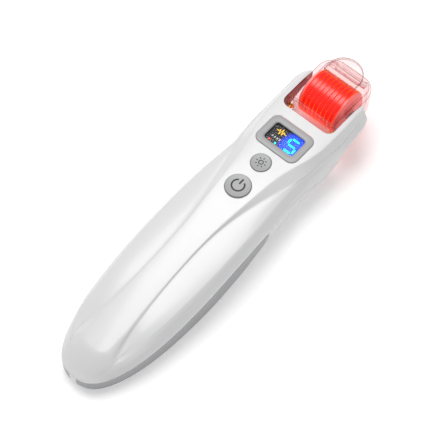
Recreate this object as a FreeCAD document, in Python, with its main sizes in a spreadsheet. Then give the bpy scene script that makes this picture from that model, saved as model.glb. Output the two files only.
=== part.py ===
import FreeCAD, Part
import math
import os

import Sketcher

# Hand-held derma roller with a lit roller head, lying on its back.
# +Z rises out of the display face, +Y runs from the butt to the roller, +X is the
# device's own right.  The origin is the middle of the overall box, on the table.

doc = FreeCAD.newDocument("DermaRoller")
sheet = doc.addObject("Spreadsheet::Sheet", "Sizes")

SIZES = [
    # handle
    ("handle_length", 144.5, "butt end to the near edge of the roller pocket"),
    ("fork_reach", 22.0, "pocket edge to the tips of the fork arms"),
    ("tab_reach", 34.0, "pocket edge to the end of the thumb tab"),
    ("grip_width", 42.0, "widest place, at the joint of the two shells"),
    ("face_height", 27.5, "table to the display face"),
    ("shell_wall", 1.8, "thickness of both shells"),
    ("seam_gap", 0.2, "groove between the two shells"),
    # contact band
    ("band_height", 9.0, "height of the metal hand contact"),
    ("band_thickness", 0.8, "thickness of the metal hand contact"),
    ("band_reach", 98.0, "butt end to the tips of the contact band"),
    # roller pocket
    ("pocket_width", 27.0, "between the fork arms"),
    ("pocket_corner", 3.5, "corner radius of the pocket's near edge"),
    ("slide_clearance", 0.2, "cartridge to pocket, each side"),
    ("rail_height", 1.6, "height of the slide tongues"),
    ("rail_drop", 4.2, "underside of the slide tongues below the display face"),
    ("rail_depth", 1.0, "how far the slide tongues stand out"),
    # cartridge
    ("cartridge_gap", 4.9, "pocket edge to the cartridge's near wall"),
    ("cartridge_length", 28.7, "near wall to far end"),
    ("cartridge_height", 19.0, "floor to rim"),
    ("rim_drop", 0.7, "cartridge rim below the display face"),
    ("cartridge_wall", 1.2, "near wall, floor and front"),
    ("cheek_wall", 2.0, "side walls that hold the axle"),
    ("front_corner", 8.0, "corner radius of the far end, in plan"),
    ("front_inside", 4.5, "the same corner inside the tub"),
    ("front_bend", 9.5, "bend from the floor up to the far end"),
    ("tab_radius", 8.2, "round end of the thumb tab"),
    ("tab_height", 5.5, "top of the thumb tab above the display face"),
    ("tab_thickness", 1.2, "thumb tab"),
    ("guard_wall", 1.6, "curved web that carries the thumb tab"),
    # roller
    ("roller_reach", 17.8, "pocket edge to the roller axis"),
    ("roller_depth", 6.7, "roller axis below the display face"),
    ("drum_radius", 10.4, "plastic body of the roller"),
    ("needle_length", 0.6, "needle tips beyond the plastic body"),
    ("needle_count", 60, "needles on each disc"),
    ("disc_count", 9, "needle discs"),
    ("disc_pitch", 2.1, "spacing of the needle discs"),
    ("disc_thickness", 0.25, "stamped needle disc"),
    ("disc_bore", 8.4, "radius of the hole in a needle disc"),
    ("cap_thickness", 1.6, "end cap of the roller"),
    ("axle_radius", 1.25, "steel axle"),
    ("axle_clearance", 0.05, "running fit, each side"),
    # display
    ("display_back", 13.3, "pocket edge back to the display centre"),
    ("bezel_width", 22.0, "display frame, across"),
    ("bezel_depth", 16.2, "display frame, along"),
    ("bezel_corner", 3.6, "display frame corner radius"),
    ("bezel_proud", 0.5, "display frame above the face"),
    ("window_width", 15.4, "visible window, across"),
    ("window_depth", 9.5, "visible window, along"),
    ("window_lap", 0.7, "how far the window sits under its frame"),
    # buttons
    ("light_back", 28.7, "pocket edge back to the light button"),
    ("light_radius", 4.4, "light button cap"),
    ("power_back", 43.3, "pocket edge back to the power button"),
    ("power_radius", 5.6, "power button cap"),
    ("button_clearance", 0.2, "cap to its hole"),
    ("button_proud", 0.6, "cap above the face"),
    ("button_flange", 0.7, "retaining flange beyond the cap"),
    # circuit boards
    ("board_width", 18.6, "main board"),
    ("board_thickness", 1.2, "every circuit board"),
    ("board_depth", 8.5, "display face to the main board"),
    ("board_near", 70.0, "pocket edge back to the main board's near end"),
    ("board_far", 7.0, "pocket edge back to the main board's far end"),
    ("switch_size", 6.0, "push switch body, square"),
    ("switch_height", 3.5, "push switch body"),
    # battery and charging
    ("battery_width", 24.0, "battery pouch"),
    ("battery_length", 50.0, "battery pouch"),
    ("battery_height", 9.0, "battery pouch"),
    ("battery_back", 79.0, "pocket edge back to the battery's middle"),
    ("socket_width", 9.0, "charging socket shell"),
    ("socket_height", 3.2, "charging socket shell"),
    ("socket_length", 7.6, "charging socket shell"),
    ("socket_level", 4.0, "table to the middle of the charging socket"),
    # fasteners
    ("screw_radius", 1.1, "self-tapping case screw, thread"),
    ("screw_head", 2.3, "case screw head radius"),
    ("post_radius", 3.4, "screw post of the back shell"),
]
for row, (alias, value, note) in enumerate(SIZES, start=1):
    sheet.set("A%d" % row, alias)
    sheet.set("B%d" % row, str(value))
    sheet.set("C%d" % row, note)
    sheet.setAlias("B%d" % row, alias)
doc.recompute()


def size(alias):
    return float(sheet.get(alias))


# Places along Y are written from the near edge of the roller pocket, because the
# display, the buttons and the cartridge are all set out from it.
POCKET = "((Sizes.handle_length - Sizes.tab_reach) / 2)"
FACE = "Sizes.face_height"
ROLLER_Y = POCKET + " + Sizes.roller_reach"
ROLLER_Z = FACE + " - Sizes.roller_depth"
BOARD_TOP = FACE + " - Sizes.board_depth"

pocket_y = (size("handle_length") - size("tab_reach")) / 2
butt_y = pocket_y - size("handle_length")
face_z = size("face_height")
roller_y = pocket_y + size("roller_reach")
roller_z = face_z - size("roller_depth")
X_AXIS = FreeCAD.Vector(1, 0, 0)
Y_AXIS = FreeCAD.Vector(0, 1, 0)
Z_AXIS = FreeCAD.Vector(0, 0, 1)

NODES = []


def node(thing, name):
    """Give a finished sub-part the name that its file will carry."""
    thing.Label = name
    NODES.append(thing)
    return thing


def bind(thing, **cells):
    """Tie properties of a document object to expressions over the size sheet."""
    for prop, text in cells.items():
        thing.setExpression(prop, text)
    return thing


def place(thing, x="0", y="0", z="0"):
    for axis, text in (("x", x), ("y", y), ("z", z)):
        thing.setExpression("Placement.Base." + axis, text)
    return thing


def box(name, width, length, height, x="0", y="0", z="0"):
    """A block centred on x and y that stands on z."""
    block = doc.addObject("Part::Box", name)
    bind(block, Length=width, Width=length, Height=height)
    return place(block, "%s - (%s) / 2" % (x, width), "%s - (%s) / 2" % (y, length), z)


def rod(name, radius, height, x="0", y="0", z="0", axis=Z_AXIS):
    """A round bar that starts at x, y, z and runs along the given axis."""
    bar = doc.addObject("Part::Cylinder", name)
    bind(bar, Radius=radius, Height=height)
    if axis != Z_AXIS:
        bar.Placement.Rotation = FreeCAD.Rotation(Z_AXIS, axis)
    return place(bar, x, y, z)


def cut(name, base, tool):
    result = doc.addObject("Part::Cut", name)
    result.Base = base
    result.Tool = tool
    return result


def fuse(name, shapes):
    result = doc.addObject("Part::MultiFuse", name)
    result.Shapes = shapes
    return result


def group(name, shapes):
    """Separate solids that share one node, such as a set of screws."""
    result = doc.addObject("Part::Compound", name)
    result.Links = shapes
    return result


def rounded_block(name, width, length, height, corner, x="0", y="0", z="0"):
    """A padded rectangle with rounded corners, centred on x and y."""
    body = doc.addObject("PartDesign::Body", name)
    plane = [f for f in body.Origin.OriginFeatures if f.Role == "XY_Plane"][0]
    sketch = body.newObject("Sketcher::SketchObject", name + "_outline")
    sketch.AttachmentSupport = (plane, "")
    sketch.MapMode = "FlatFace"
    corners = [(-1, -1), (1, -1), (1, 1), (-1, 1)]
    points = [FreeCAD.Vector(10 * sx, 10 * sy, 0) for sx, sy in corners]
    for start, end in zip(points, points[1:] + points[:1]):
        sketch.addGeometry(Part.LineSegment(start, end), False)
    for edge in range(4):
        sketch.addConstraint(Sketcher.Constraint("Coincident", edge, 2, (edge + 1) % 4, 1))
    sketch.addConstraint(Sketcher.Constraint("Horizontal", 0))
    sketch.addConstraint(Sketcher.Constraint("Horizontal", 2))
    sketch.addConstraint(Sketcher.Constraint("Vertical", 1))
    sketch.addConstraint(Sketcher.Constraint("Vertical", 3))
    sketch.addConstraint(Sketcher.Constraint("Symmetric", 0, 1, 1, 2, -1, 1))
    wide = sketch.addConstraint(Sketcher.Constraint("Distance", 0, 20))
    long = sketch.addConstraint(Sketcher.Constraint("Distance", 1, 20))
    sketch.setExpression("Constraints[%d]" % wide, width)
    sketch.setExpression("Constraints[%d]" % long, length)
    pad = body.newObject("PartDesign::Pad", name + "_pad")
    pad.Profile = sketch
    pad.setExpression("Length", height)
    doc.recompute()
    upright = [
        "Edge%d" % (number + 1)
        for number, edge in enumerate(pad.Shape.Edges)
        if abs(edge.tangentAt(edge.FirstParameter).z) > 0.9
    ]
    fillet = body.newObject("PartDesign::Fillet", name + "_corners")
    fillet.Base = (pad, upright)
    fillet.setExpression("Radius", corner)
    body.Tip = fillet
    return place(body, x, y, z)


# ---------------------------------------------------------------------------
# Outer form.  The shells are lofted through cross-sections along Y.  Each row
# gives the place along the handle, as a share of handle_length, then half
# widths as shares of the half width at the seam, then depths in millimetres
# below the display face.  Past 1.0 the rows run out along the fork arms.

# share, seam, chamfer, panel_out, panel_in, spine | top, in, out, chamfer, seam | side, floor
SECTIONS = [
    (0.000, 0.15, 0.90, 0.60, 0.48, 0.35, 16.9, 0.3, 0.8, 1.4, 20.0, 25.6, 27.0),
    (0.008, 0.29, 0.92, 0.62, 0.50, 0.36, 16.1, 0.3, 1.0, 1.8, 20.0, 26.0, 27.4),
    (0.024, 0.44, 0.93, 0.64, 0.53, 0.40, 15.0, 0.4, 1.3, 2.4, 20.0, 26.2, 27.5),
    (0.055, 0.60, 0.93, 0.67, 0.59, 0.45, 13.5, 0.5, 1.6, 3.2, 19.8, 26.2, 27.5),
    (0.104, 0.745, 0.945, 0.70, 0.60, 0.48, 11.7, 0.6, 1.8, 3.6, 19.0, 26.0, 27.5),
    (0.173, 0.867, 0.948, 0.755, 0.46, 0.41, 9.8, 0.7, 1.9, 4.2, 18.0, 25.6, 27.5),
    (0.277, 0.962, 0.953, 0.82, 0.335, 0.314, 7.2, 0.8, 2.2, 4.7, 16.4, 24.8, 27.5),
    (0.453, 1.000, 0.965, 0.868, 0.292, 0.281, 3.35, 1.0, 2.5, 5.2, 13.6, 23.8, 27.5),
    (0.623, 0.978, 0.96, 0.876, 0.40, 0.355, 0.95, 1.3, 2.8, 5.3, 11.3, 19.2, 27.5),
    (0.747, 0.940, 0.94, 0.86, 0.635, 0.46, 0.1, 1.6, 2.9, 5.4, 11.0, 16.2, 26.8),
    (0.820, 0.907, 0.93, 0.845, 0.80, 0.565, 0.0, 2.2, 3.1, 5.6, 11.2, 15.4, 25.0),
    (0.872, 0.914, 0.955, 0.885, 0.855, 0.68, 0.0, 3.3, 4.0, 5.6, 12.8, 16.4, 23.3),
    (0.927, 0.940, 0.98, 0.93, 0.90, 0.765, 0.0, 3.8, 4.5, 5.6, 14.8, 17.4, 21.8),
    (1.000, 0.930, 1.005, 0.95, 0.915, 0.80, 0.0, 3.8, 4.5, 5.5, 12.8, 15.2, 21.3),
]
# The same columns along the fork arms, from the pocket edge to the tips.
ARM_SECTIONS = [
    (0.30, 0.925, 1.0, 0.95, 0.915, 0.80, 0.0, 3.8, 4.5, 5.4, 10.2),
    (0.62, 0.920, 1.0, 0.95, 0.915, 0.82, 0.1, 3.4, 4.1, 5.0, 7.5),
    (0.88, 0.900, 0.99, 0.95, 0.92, 0.84, 0.4, 2.8, 3.4, 4.4, 6.2),
    (1.00, 0.800, 0.97, 0.94, 0.92, 0.86, 1.2, 2.0, 2.4, 3.2, 5.8),
]


PAST_JOINT = 4.0    # how far a cavity's form runs past the joint of the shells


def stations(skin, arms):
    """Section rows with their place in Y, drawn in by the thickness of a skin."""
    rows = []
    reach = size("handle_length")
    share_in = (reach - 2 * skin if skin else reach) / reach
    for row in SECTIONS:
        rows.append((butt_y + skin + row[0] * reach * share_in, row[1:]))
    if arms:
        for row in ARM_SECTIONS:
            rows.append((pocket_y + row[0] * size("fork_reach"), row[1:]))
    return rows


def closed_wire(half_points, y):
    """A symmetric polygon in the plane of constant y from its right-hand half."""
    right = [FreeCAD.Vector(x, y, z) for x, z in half_points]
    left = [FreeCAD.Vector(-x, y, z) for x, z in reversed(half_points)]
    return Part.makePolygon(right + left + right[:1])


def top_form(skin=0.0, arms=True):
    """Solid of the upper shell's outside, or of its inside when skin is set."""
    wires = []
    for y, row in stations(skin, arms):
        seam, chamfer, panel_out, panel_in, spine = row[:5]
        top, drop_in, drop_out, drop_chamfer, seam_depth = row[5:10]
        half = seam * size("grip_width") / 2
        level = face_z - top - skin
        floor = face_z - seam_depth + size("seam_gap") / 2 - (PAST_JOINT if skin else 0)
        thin = skin * 0.75
        half_points = [
            (half - skin, min(floor, level - drop_chamfer - 0.4)),
            (half * chamfer - skin, level - drop_chamfer + thin * 0.5),
            (half * panel_out - thin, level - drop_out),
            (half * panel_in - thin * 0.5, level - drop_in),
            (half * spine - thin * 0.3, level),
        ]
        wires.append(closed_wire(half_points, y))
    return Part.makeLoft(wires, True, False)


def back_form(skin=0.0, floor_skin=None):
    """Solid of the lower shell's outside, or of its inside when skin is set."""
    if floor_skin is None:
        floor_skin = skin
    wires = []
    for y, row in stations(skin, False):
        half = row[0] * size("grip_width") / 2
        seam = face_z - row[9] - size("seam_gap") / 2 + (PAST_JOINT if skin else 0)
        side = face_z - row[10]
        floor = face_z - row[11] + floor_skin
        half_points = [
            (half * 0.70 - skin * 0.5, floor),
            (half * 0.90 - skin * 0.8, floor + (side - floor + floor_skin) * 0.4),
            (half - skin, side),
            (half - skin, seam),
        ]
        wires.append(closed_wire(half_points, y))
    return Part.makeLoft(wires, True, False).common(block(BIG, 2 * BIG, BIG, 0, -BIG, floor_skin))


def cylinder(radius, height, x, y, z, axis=Z_AXIS):
    return Part.makeCylinder(radius, height, FreeCAD.Vector(x, y, z), axis)


def block(width, length, height, x, y, z):
    """A block centred on x, starting at y and z."""
    return Part.makeBox(width, length, height, FreeCAD.Vector(x - width / 2, y, z))


def upright_edges(shape, keep):
    """Vertical edges whose middle satisfies the given test."""
    chosen = []
    for edge in shape.Edges:
        middle = edge.CenterOfMass
        if abs(edge.tangentAt(edge.FirstParameter).z) > 0.9 and keep(middle):
            chosen.append(edge)
    return chosen


def feature(name, shape):
    """A sub-part whose free form is made by Part's own functions."""
    thing = doc.addObject("Part::Feature", name)
    thing.Shape = shape
    thing.Placement = FreeCAD.Placement()
    return node(thing, name)


BIG = 200.0
OVERSHOOT = 2.0

# Screw places: two beside the charging board, two beside the light button.
screw_places = [
    (sx * size("grip_width") * share_x, butt_y + size("handle_length") * share_y, join)
    for sx in (-1, 1)
    for share_x, share_y, join in ((0.234, 0.155, 18.8), (0.30, 0.66, 14.4))
]


def pocket_tool():
    reach = size("fork_reach") + BIG
    tool = block(size("pocket_width"), reach, BIG, 0, pocket_y, face_z - BIG / 2)
    near = upright_edges(tool, lambda middle: middle.y < pocket_y + 1)
    return tool.makeFillet(size("pocket_corner"), near)


def groove_tool():
    """Grooves in the fork arms that the cartridge's tongues run in."""
    width = size("pocket_width") + 2 * size("rail_depth")
    height = size("rail_height") + 2 * size("slide_clearance")
    start = pocket_y + size("cartridge_gap") + 1.0 - size("slide_clearance")
    return block(width, BIG, height, 0, start, rail_z - size("slide_clearance"))


rail_z = face_z - size("rail_drop")
light_y = pocket_y - size("light_back")
power_y = pocket_y - size("power_back")
display_y = pocket_y - size("display_back")
lamp_half = 9.0
lamp_low = face_z - 12.0
lamp_high = face_z - 4.0
pin_x = 11.2
pin_z = face_z - 6.0
pin_radius = 0.8


def make_top_shell():
    outer = top_form()
    wall = size("shell_wall")
    inner = top_form(wall, arms=False)
    room = block(BIG, size("handle_length") - wall, BIG, 0, butt_y, 0)
    shell = outer.cut(inner.common(room))
    shell = shell.cut([pocket_tool(), groove_tool()])
    opening = block(
        size("bezel_width") + 0.2, size("bezel_depth") + 0.2, BIG,
        0, display_y - size("bezel_depth") / 2 - 0.1, face_z - 4,
    )
    opening = opening.makeFillet(size("bezel_corner"), upright_edges(opening, lambda m: True))
    holes = [opening]
    for radius, y in ((size("light_radius"), light_y), (size("power_radius"), power_y)):
        holes.append(cylinder(radius + size("button_clearance"), BIG, 0, y, face_z - 6))
    holes.append(block(2 * lamp_half, wall + 1, lamp_high - lamp_low, 0, pocket_y - wall - 0.5, lamp_low))
    for sx in (-1, 1):
        holes.append(cylinder(pin_radius, 2 * wall + 2, sx * pin_x, pocket_y - 2 * wall, pin_z, Y_AXIS))
    shell = shell.cut(holes)
    core = top_form(wall * 0.5)
    for x, y, join in screw_places:
        boss = cylinder(size("post_radius") - 0.5, BIG, x, y, face_z - join)
        shell = shell.fuse(boss.common(core))
    for x, y, join in screw_places:
        shell = shell.cut(cylinder(size("screw_radius"), screw_bite, x, y, face_z - join))
    return shell


screw_bite = 5.0


def band_region():
    """Side view of the contact band, swept across the handle."""
    upper = []
    lower = []
    for row in SECTIONS:
        y = butt_y + row[0] * size("handle_length")
        if y < butt_y + size("band_reach") - 12:
            z = face_z - row[10] - size("seam_gap") / 2 - 0.5
            upper.append(FreeCAD.Vector(0, y, z))
            under = max(z - size("band_height"), face_z - row[11] + 0.5)
            lower.append(FreeCAD.Vector(0, y, under))
    upper[0].y = lower[0].y = butt_y - OVERSHOOT
    tip = FreeCAD.Vector(0, butt_y + size("band_reach"), (upper[-1].z + lower[-1].z) / 2 + 1.6)
    top = Part.BSplineCurve()
    top.interpolate(upper)
    low = Part.BSplineCurve()
    low.interpolate(lower)
    nose = Part.BSplineCurve()
    nose.interpolate(
        Points=[upper[-1], tip, lower[-1]],
        Tangents=[
            top.tangent(top.LastParameter)[0],
            FreeCAD.Vector(0, 0, -1),
            low.tangent(low.LastParameter)[0] * -1,
        ],
        TangentFlags=[True, True, True],
    )
    closing = Part.LineSegment(lower[0], upper[0])
    wire = Part.Wire([top.toShape(), nose.toShape(), low.toShape(), closing.toShape()])
    face = Part.Face(wire)
    return face.extrude(FreeCAD.Vector(BIG, 0, 0)).translated(FreeCAD.Vector(-BIG / 2, 0, 0))


def make_contact_band(outer):
    ring = outer.cut(back_form(size("band_thickness")))
    return ring.common(band_region())


def socket_room(grow):
    width = size("socket_width") + 2 * grow
    height = size("socket_height") + 2 * grow
    tool = block(width, BIG, height, 0, butt_y - BIG / 2, size("socket_level") - height / 2)
    ends = [e for e in tool.Edges if abs(e.tangentAt(e.FirstParameter).y) > 0.9]
    return tool.makeFillet(height / 2 - 0.05, ends)


def make_back_shell(outer, band):
    wall = size("shell_wall")
    inner = back_form(wall)
    room = block(BIG, size("handle_length") - wall, BIG, 0, butt_y, 0)
    shell = outer.cut(inner.common(room))
    posts = []
    holes = []
    for x, y, join in screw_places:
        posts.append(cylinder(size("post_radius"), face_z - join - 1.0, x, y, 1.0).common(outer))
        holes.append(cylinder(size("screw_radius") + 0.25, BIG, x, y, -1))
        holes.append(cylinder(size("screw_head") + 0.25, 1 + counterbore, x, y, -1))
    shell = shell.fuse(posts)
    shell = shell.cut(holes)
    ledge = block(size("socket_width") + 5, 1.2, size("socket_height") + 3.2, 0, butt_y + 1.3, 1.6)
    shell = shell.fuse(ledge.common(outer))
    shell = shell.cut(band)
    return shell.cut(socket_room(0.15).common(block(BIG, 12, BIG, 0, butt_y - 5, 0)))


counterbore = 3.0

back_outer = back_form().cut(top_form())
band = make_contact_band(back_outer).cut(socket_room(0.15))
feature("top_shell", make_top_shell())
feature("back_shell", make_back_shell(back_outer, band))
feature("contact_band", band)


# ---------------------------------------------------------------------------
# Roller cartridge: a clear tub that slides out of the fork along +Y.

cart_y = pocket_y + size("cartridge_gap")
cart_half = size("pocket_width") / 2 - size("slide_clearance")
rim_z = face_z - size("rim_drop")
cart_end = cart_y + size("cartridge_length")


def tub_side(inset, top):
    """Side view of the tub, its front bent up from the floor."""
    near = cart_y + inset
    far = cart_end - inset
    floor = rim_z - size("cartridge_height") + inset
    bend = size("front_bend") - inset
    bend_z = floor + bend
    points = [
        FreeCAD.Vector(0, near, floor),
        FreeCAD.Vector(0, near, top),
        FreeCAD.Vector(0, far, top),
        FreeCAD.Vector(0, far, bend_z),
        FreeCAD.Vector(0, far - bend, floor),
    ]
    diagonal = bend * math.sqrt(0.5)
    middle = FreeCAD.Vector(0, far - bend + diagonal, bend_z - diagonal)
    front = Part.Arc(points[3], middle, points[4]).toShape()
    edges = [Part.LineSegment(a, b).toShape() for a, b in zip(points[:3], points[1:4])]
    edges += [front, Part.LineSegment(points[4], points[0]).toShape()]
    return Part.Face(Part.Wire(edges))


def sweep_across(face, half):
    return face.extrude(FreeCAD.Vector(2 * half, 0, 0)).translated(FreeCAD.Vector(-half, 0, 0))


def ring_sector(inner, outer, low_angle, high_angle, half):
    """A curved web around the roller axis, between two angles above +Y."""
    pie = Part.makeCylinder(
        outer, 2 * half, FreeCAD.Vector(-half, roller_y, roller_z), X_AXIS, high_angle - low_angle
    )
    core = Part.makeCylinder(inner, 2 * half + 2, FreeCAD.Vector(-half - 1, roller_y, roller_z), X_AXIS)
    web = pie.cut(core)
    web.rotate(FreeCAD.Vector(0, roller_y, roller_z), X_AXIS, low_angle + START_ANGLE)
    return web


START_ANGLE = -90.0
tab_top = face_z + size("tab_height")
tab_low = tab_top - size("tab_thickness")
tab_y = pocket_y + size("tab_reach") - size("tab_radius")


def make_cartridge():
    outer = sweep_across(tub_side(0, rim_z), cart_half)
    far_edges = upright_edges(outer, lambda m: m.y > cart_end - 1)
    outer = outer.makeFillet(size("front_corner"), far_edges)
    inner = sweep_across(tub_side(size("cartridge_wall"), face_z + 5), cart_half - size("cheek_wall"))
    inner = inner.makeFillet(
        size("front_inside"),
        upright_edges(inner, lambda m: m.y > cart_end - size("cartridge_wall") - 1),
    )
    tub = outer.cut(inner)
    reach = roller_radius + 2.4
    web = ring_sector(reach, reach + size("guard_wall"), 12, 62, size("tab_radius") - 0.3)
    web = web.common(block(BIG, BIG, BIG, 0, roller_y, tab_low - BIG + 0.01))
    root = block(2 * size("tab_radius") - 0.6, cart_end - 0.6 - (roller_y + reach - 0.7), 3.2,
                 0, roller_y + reach - 0.7, rim_z - 3.2)
    strip = block(2 * size("tab_radius"), 3.3, size("tab_thickness"), 0, tab_y - 3.3, tab_low)
    disc = cylinder(size("tab_radius"), size("tab_thickness"), 0, tab_y, tab_low)
    disc = disc.common(block(BIG, BIG, BIG, 0, tab_y, 0))
    tongues = [
        block(size("rail_depth") + 0.5, 12.0, size("rail_height"),
              sx * (cart_half + size("rail_depth") / 2 - 0.25), cart_y + 1.0, rail_z)
        for sx in (-1, 1)
    ]
    frame = tub.fuse([root, web, strip, disc] + tongues).removeSplitter()
    seat = cylinder(size("axle_radius"), 2 * axle_half, -axle_half, roller_y, roller_z, X_AXIS)
    return frame.cut(seat)


roller_radius = size("drum_radius") + size("needle_length")
axle_half = cart_half - 0.8
feature("cartridge_frame", make_cartridge())


# ---------------------------------------------------------------------------
# Roller: plastic drum, stamped needle discs in its grooves, end caps, axle.

DRUM_HALF = "(Sizes.disc_pitch * (Sizes.disc_count - 1) / 2 + 0.5)"
drum_half = size("disc_pitch") * (size("disc_count") - 1) / 2 + 0.5
disc_places = [
    (number - (size("disc_count") - 1) / 2) * size("disc_pitch")
    for number in range(int(size("disc_count")))
]


def toothed_disc(x):
    """A thin disc whose rim is a ring of needle points."""
    root = size("drum_radius")
    count = int(size("needle_count"))
    points = []
    for tooth in range(count):
        for step, radius in ((0.0, roller_radius), (0.28, root), (0.72, root)):
            angle = 2 * math.pi * (tooth + step) / count
            points.append(
                FreeCAD.Vector(x, roller_y + radius * math.cos(angle), roller_z + radius * math.sin(angle))
            )
    rim = Part.makePolygon(points + points[:1])
    disc = Part.Face(rim).extrude(FreeCAD.Vector(size("disc_thickness"), 0, 0))
    hole = cylinder(size("disc_bore"), size("disc_thickness") + 2, x - 1, roller_y, roller_z, X_AXIS)
    return disc.cut(hole)


discs = [toothed_disc(x - size("disc_thickness") / 2) for x in disc_places]
feature("needle_discs", Part.makeCompound(discs))

drum = rod("drum_blank", "Sizes.drum_radius", "2 * " + DRUM_HALF, "-" + DRUM_HALF, ROLLER_Y, ROLLER_Z, X_AXIS)
grooves = []
for number, x in enumerate(disc_places, start=1):
    share = "%s * Sizes.disc_pitch" % (number - 1 - (size("disc_count") - 1) / 2)
    ring = rod("groove_%d" % number, "Sizes.drum_radius + 1", "Sizes.disc_thickness",
               share + " - Sizes.disc_thickness / 2", ROLLER_Y, ROLLER_Z, X_AXIS)
    hub = rod("groove_hub_%d" % number, "Sizes.disc_bore", "Sizes.disc_thickness",
              share + " - Sizes.disc_thickness / 2", ROLLER_Y, ROLLER_Z, X_AXIS)
    grooves.append(cut("groove_ring_%d" % number, ring, hub))
drum_bore = rod("drum_bore", "Sizes.axle_radius + Sizes.axle_clearance", "2 * %s + 2" % DRUM_HALF,
                "-%s - 1" % DRUM_HALF, ROLLER_Y, ROLLER_Z, X_AXIS)
node(cut("drum_core", drum, fuse("drum_cuts", grooves + [drum_bore])), "drum_core")

for side, sign in (("left", -1), ("right", 1)):
    start = DRUM_HALF if sign > 0 else "-%s - Sizes.cap_thickness" % DRUM_HALF
    cap = doc.addObject("Part::Cone", side + "_cap_blank")
    wide = "Sizes.drum_radius"
    narrow = "Sizes.drum_radius - 1.1"
    bind(cap, Radius1=wide if sign > 0 else narrow, Radius2=narrow if sign > 0 else wide,
         Height="Sizes.cap_thickness")
    cap.Placement.Rotation = FreeCAD.Rotation(Z_AXIS, X_AXIS)
    place(cap, start, ROLLER_Y, ROLLER_Z)
    bore = rod(side + "_cap_bore", "Sizes.axle_radius + Sizes.axle_clearance",
               "Sizes.cap_thickness + 2", start + " - 1", ROLLER_Y, ROLLER_Z, X_AXIS)
    node(cut(side + "_end_cap", cap, bore), side + "_end_cap")

AXLE_HALF = "(Sizes.pocket_width / 2 - Sizes.slide_clearance - 0.8)"
node(rod("axle", "Sizes.axle_radius", "2 * " + AXLE_HALF, "-" + AXLE_HALF, ROLLER_Y, ROLLER_Z, X_AXIS), "axle")

washers = []
for side, sign in (("left", -1), ("right", 1)):
    inner_face = "(Sizes.pocket_width / 2 - Sizes.slide_clearance - Sizes.cheek_wall)"
    start = inner_face + " - 0.6" if sign > 0 else "-" + inner_face
    ring = rod(side + "_washer_blank", "2.6", "0.6", start, ROLLER_Y, ROLLER_Z, X_AXIS)
    bore = rod(side + "_washer_bore", "Sizes.axle_radius", "2.6", start + " - 1", ROLLER_Y, ROLLER_Z, X_AXIS)
    washers.append(cut(side + "_washer", ring, bore))
node(group("axle_washers", washers), "axle_washers")

# Gold plates on the cartridge's near wall, and the pins that press on them.
CART_Y = POCKET + " + Sizes.cartridge_gap"
plates = []
pins = []
for side, sign in (("left", "-11.2"), ("right", "11.2")):
    plates.append(rod(side + "_plate", "1.6", "0.3", sign, CART_Y + " - 0.3", FACE + " - 6", Y_AXIS))
    pins.append(rod(side + "_pin", "0.8", "Sizes.cartridge_gap + 2.2", sign,
                    POCKET + " - 2.55", FACE + " - 6", Y_AXIS))
node(group("contact_plates", plates), "contact_plates")
node(group("contact_pins", pins), "contact_pins")


# ---------------------------------------------------------------------------
# Display: frame with a flange under the shell, window, and display module.

DISPLAY_Y = POCKET + " - Sizes.display_back"
bezel = rounded_block("bezel_blank", "Sizes.bezel_width", "Sizes.bezel_depth",
                      "2.5 + Sizes.bezel_proud", "Sizes.bezel_corner", "0", DISPLAY_Y, FACE + " - 2.5")
flange = rounded_block("bezel_flange", "Sizes.bezel_width + 2", "Sizes.bezel_depth + 2",
                       "0.8", "Sizes.bezel_corner + 1", "0", DISPLAY_Y, FACE + " - 3.3")
sight = rounded_block("bezel_sight", "Sizes.window_width", "Sizes.window_depth", "10",
                      "1.2", "0", DISPLAY_Y, FACE + " - 5")
seat = rounded_block("window_seat", "Sizes.window_width + 2 * Sizes.window_lap",
                     "Sizes.window_depth + 2 * Sizes.window_lap", "5.2", "1.6",
                     "0", DISPLAY_Y, FACE + " - 5")
frame_blank = fuse("bezel_body", [bezel, flange])
node(cut("display_bezel", frame_blank, fuse("bezel_openings", [sight, seat])), "display_bezel")
node(rounded_block("display_window", "Sizes.window_width + 2 * Sizes.window_lap",
                   "Sizes.window_depth + 2 * Sizes.window_lap", "1.0", "1.6",
                   "0", DISPLAY_Y, FACE + " - 0.8"), "display_window")
module_base = box("module_base", "Sizes.window_width + 3", "Sizes.window_depth + 4",
                  "Sizes.board_depth - 3.4", "0", DISPLAY_Y, BOARD_TOP)
module_face = box("module_face", "Sizes.window_width + 0.2", "Sizes.window_depth + 0.2",
                  "2.4", "0", DISPLAY_Y, FACE + " - 3.4")
node(fuse("display_module", [module_base, module_face]), "display_module")


# ---------------------------------------------------------------------------
# Buttons: cap, retaining flange and stem in one piece, over a push switch.

SWITCH_TOP = BOARD_TOP + " + Sizes.switch_height"


def make_button(name, radius, back):
    where = POCKET + " - Sizes." + back
    cap = rod(name + "_cap", "Sizes." + radius, "Sizes.button_proud + 2.1", "0", where, FACE + " - 2.1")
    edged = doc.addObject("Part::Chamfer", name + "_cap_edge")
    edged.Base = cap
    doc.recompute()
    top_edge = max(range(len(cap.Shape.Edges)), key=lambda i: cap.Shape.Edges[i].CenterOfMass.z)
    edged.Edges = [(top_edge + 1, 0.35, 0.35)]
    skirt = rod(name + "_skirt", "Sizes.%s + Sizes.button_flange" % radius, "0.7", "0", where, FACE + " - 3.1")
    neck = rod(name + "_neck", "Sizes." + radius + " - 0.6", "1.1", "0", where, FACE + " - 3.1")
    stem_top = FACE + " - 3.1"
    stem_low = SWITCH_TOP + " + 0.95"
    stem = rod(name + "_stem", "1.5", "%s - (%s)" % (stem_top, stem_low), "0", where, stem_low)
    node(fuse(name, [edged, skirt, neck, stem]), name)


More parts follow.
